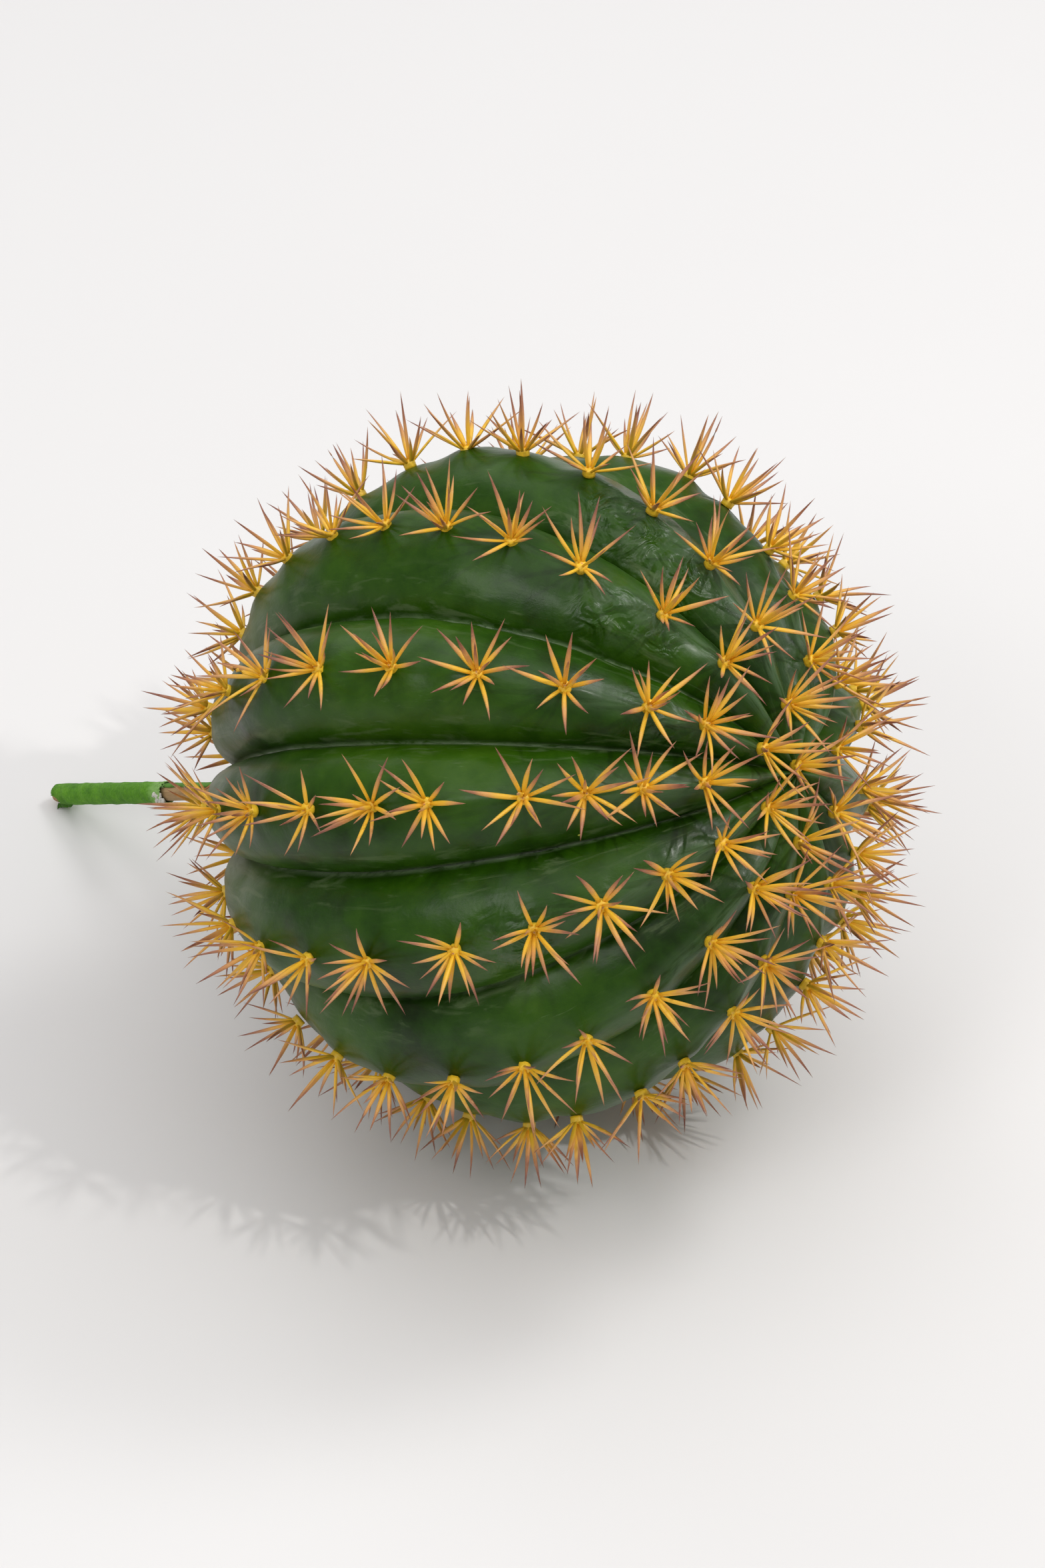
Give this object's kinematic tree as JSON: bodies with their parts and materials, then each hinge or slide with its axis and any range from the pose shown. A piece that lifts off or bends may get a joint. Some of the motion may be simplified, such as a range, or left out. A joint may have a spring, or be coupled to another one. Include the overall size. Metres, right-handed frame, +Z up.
{
  "type": "artificial round cactus on a taped stick",
  "caption": "Ribbed artificial ball cactus with clusters of plastic spines and a tape-wrapped stick for pushing into a pot; lies on its side.",
  "frame": {"origin": "centre of the footprint, on the surface that the part lies on", "axes": "+Z up; +X is the way the crown points in plan, and the stick runs back toward -X down to the surface"},
  "size_m": [0.2706, 0.2102, 0.1986],
  "materials": {
    "green_skin": "satin deep green moulded skin, paler and dusty in the grooves",
    "spine_plastic": "yellow bosses, spines fading to pinkish brown tips",
    "green_tape": "matte crinkled paper tape with torn ends",
    "bare_wood": "dry unfinished dowel"
  },
  "bodies": {
    "root": {"cactus_body": "green_skin", "stem_stick": "bare_wood", "stem_tape": "green_tape", "spines_apex": "spine_plastic", "spines_rib_01_crown": "spine_plastic", "spines_rib_01_upper": "spine_plastic", "spines_rib_01_lower": "spine_plastic", "spines_rib_01_base": "spine_plastic", "spines_rib_02_crown": "spine_plastic", "spines_rib_02_upper": "spine_plastic", "spines_rib_02_lower": "spine_plastic", "spines_rib_02_base": "spine_plastic", "spines_rib_03_crown": "spine_plastic", "spines_rib_03_upper": "spine_plastic", "spines_rib_03_lower": "spine_plastic", "spines_rib_03_base": "spine_plastic", "spines_rib_04_crown": "spine_plastic", "spines_rib_04_upper": "spine_plastic", "spines_rib_04_lower": "spine_plastic", "spines_rib_04_base": "spine_plastic", "spines_rib_05_crown": "spine_plastic", "spines_rib_05_upper": "spine_plastic", "spines_rib_05_lower": "spine_plastic", "spines_rib_05_base": "spine_plastic", "spines_rib_06_crown": "spine_plastic", "spines_rib_06_upper": "spine_plastic", "spines_rib_06_lower": "spine_plastic", "spines_rib_06_base": "spine_plastic", "spines_rib_07_crown": "spine_plastic", "spines_rib_07_upper": "spine_plastic", "spines_rib_07_lower": "spine_plastic", "spines_rib_07_base": "spine_plastic", "spines_rib_08_crown": "spine_plastic", "spines_rib_08_upper": "spine_plastic", "spines_rib_08_lower": "spine_plastic", "spines_rib_08_base": "spine_plastic", "spines_rib_09_crown": "spine_plastic", "spines_rib_09_upper": "spine_plastic", "spines_rib_09_lower": "spine_plastic", "spines_rib_09_base": "spine_plastic", "spines_rib_10_crown": "spine_plastic", "spines_rib_10_upper": "spine_plastic", "spines_rib_10_lower": "spine_plastic", "spines_rib_10_base": "spine_plastic", "spines_rib_11_crown": "spine_plastic", "spines_rib_11_upper": "spine_plastic", "spines_rib_11_lower": "spine_plastic", "spines_rib_11_base": "spine_plastic", "spines_rib_12_crown": "spine_plastic", "spines_rib_12_upper": "spine_plastic", "spines_rib_12_lower": "spine_plastic", "spines_rib_12_base": "spine_plastic", "spines_rib_13_crown": "spine_plastic", "spines_rib_13_upper": "spine_plastic", "spines_rib_13_lower": "spine_plastic", "spines_rib_13_base": "spine_plastic"}
  },
  "joints": []
}
